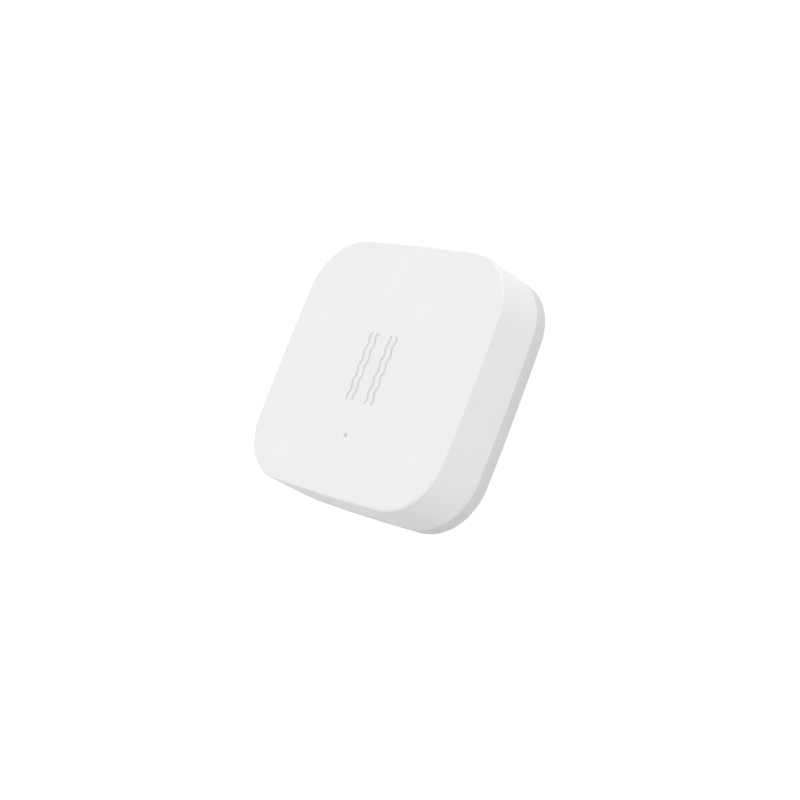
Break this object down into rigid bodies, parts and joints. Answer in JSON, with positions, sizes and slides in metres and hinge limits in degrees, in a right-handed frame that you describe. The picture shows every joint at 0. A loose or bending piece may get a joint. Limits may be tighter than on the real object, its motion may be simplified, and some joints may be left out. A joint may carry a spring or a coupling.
{
  "type": "vibration sensor tag",
  "caption": "Flat rounded-square vibration sensor with a snap-together case, side button, status light, turn-to-open battery cover and adhesive foam pad.",
  "frame": {"origin": "centre of the foam pad's sticky face, which is the lowest plane of the part", "axes": "+Z out of the front face, +Y up and +X to the right as the front is read"},
  "size_m": [0.0442, 0.0442, 0.0124],
  "materials": {
    "shell_white": "satin moulded ABS",
    "shell_grey": "satin moulded ABS",
    "button_white": "satin moulded ABS",
    "foam_pad": "acrylic foam with a sticky face",
    "clear_plastic": "clear polycarbonate, polished",
    "board_green": "solder mask over glass-epoxy",
    "copper_gold": "gold-plated foil",
    "chip_black": "moulded epoxy",
    "crystal_can": "plated lid",
    "capacitor_tan": "ceramic body",
    "reservoir_yellow": "moulded epoxy",
    "resistor_black": "glazed ceramic",
    "led_yellow": "silicone lens",
    "switch_black": "moulded nylon",
    "steel_sheet": "tinned sheet",
    "spring_steel": "nickel-plated strip",
    "cell_steel": "nickel-plated steel",
    "seal_black": "polypropylene",
    "cell_filling": "pressed powder",
    "separator_white": "felt",
    "lithium": "soft metal foil",
    "holder_black": "moulded nylon",
    "screw_steel": "zinc-plated steel"
  },
  "bodies": {
    "housing": {"front_shell": "shell_white", "light_pipe": "clear_plastic", "base_shell": "shell_grey", "adhesive_pad": "foam_pad", "circuit_board": "board_green", "antenna_trace": "copper_gold", "test_pads": "copper_gold", "microcontroller": "chip_black", "accelerometer": "chip_black", "radio_crystal": "crystal_can", "reservoir_capacitor": "reservoir_yellow", "chip_capacitors": "capacitor_tan", "chip_resistors": "resistor_black", "status_led": "led_yellow", "switch_housing": "switch_black", "switch_frame": "steel_sheet", "switch_spring": "spring_steel", "battery_holder": "holder_black", "positive_contact": "spring_steel", "negative_contact": "spring_steel", "battery_can": "cell_steel", "battery_cathode": "cell_filling", "battery_separator": "separator_white", "battery_anode": "lithium", "battery_seal": "seal_black", "battery_cap": "cell_steel", "board_screws": "screw_steel"},
    "side_button": {"reset_button": "button_white", "switch_plunger": "switch_black"},
    "battery_cover": {"battery_cover": "shell_grey"}
  },
  "joints": [
    {"name": "button_press", "type": "slide", "parent": "housing", "child": "side_button", "axis": [0, -1, 0], "range_m": [0, 0.00025], "stiffness_N_per_m": 1000, "springref_m": -0.0004, "deforming": ["switch_spring"]},
    {"name": "cover_turn", "type": "hinge", "parent": "housing", "child": "battery_cover", "pos_m": [0, 0, 0.001], "axis": [0, 0, -1], "range_deg": [0, 30]}
  ]
}
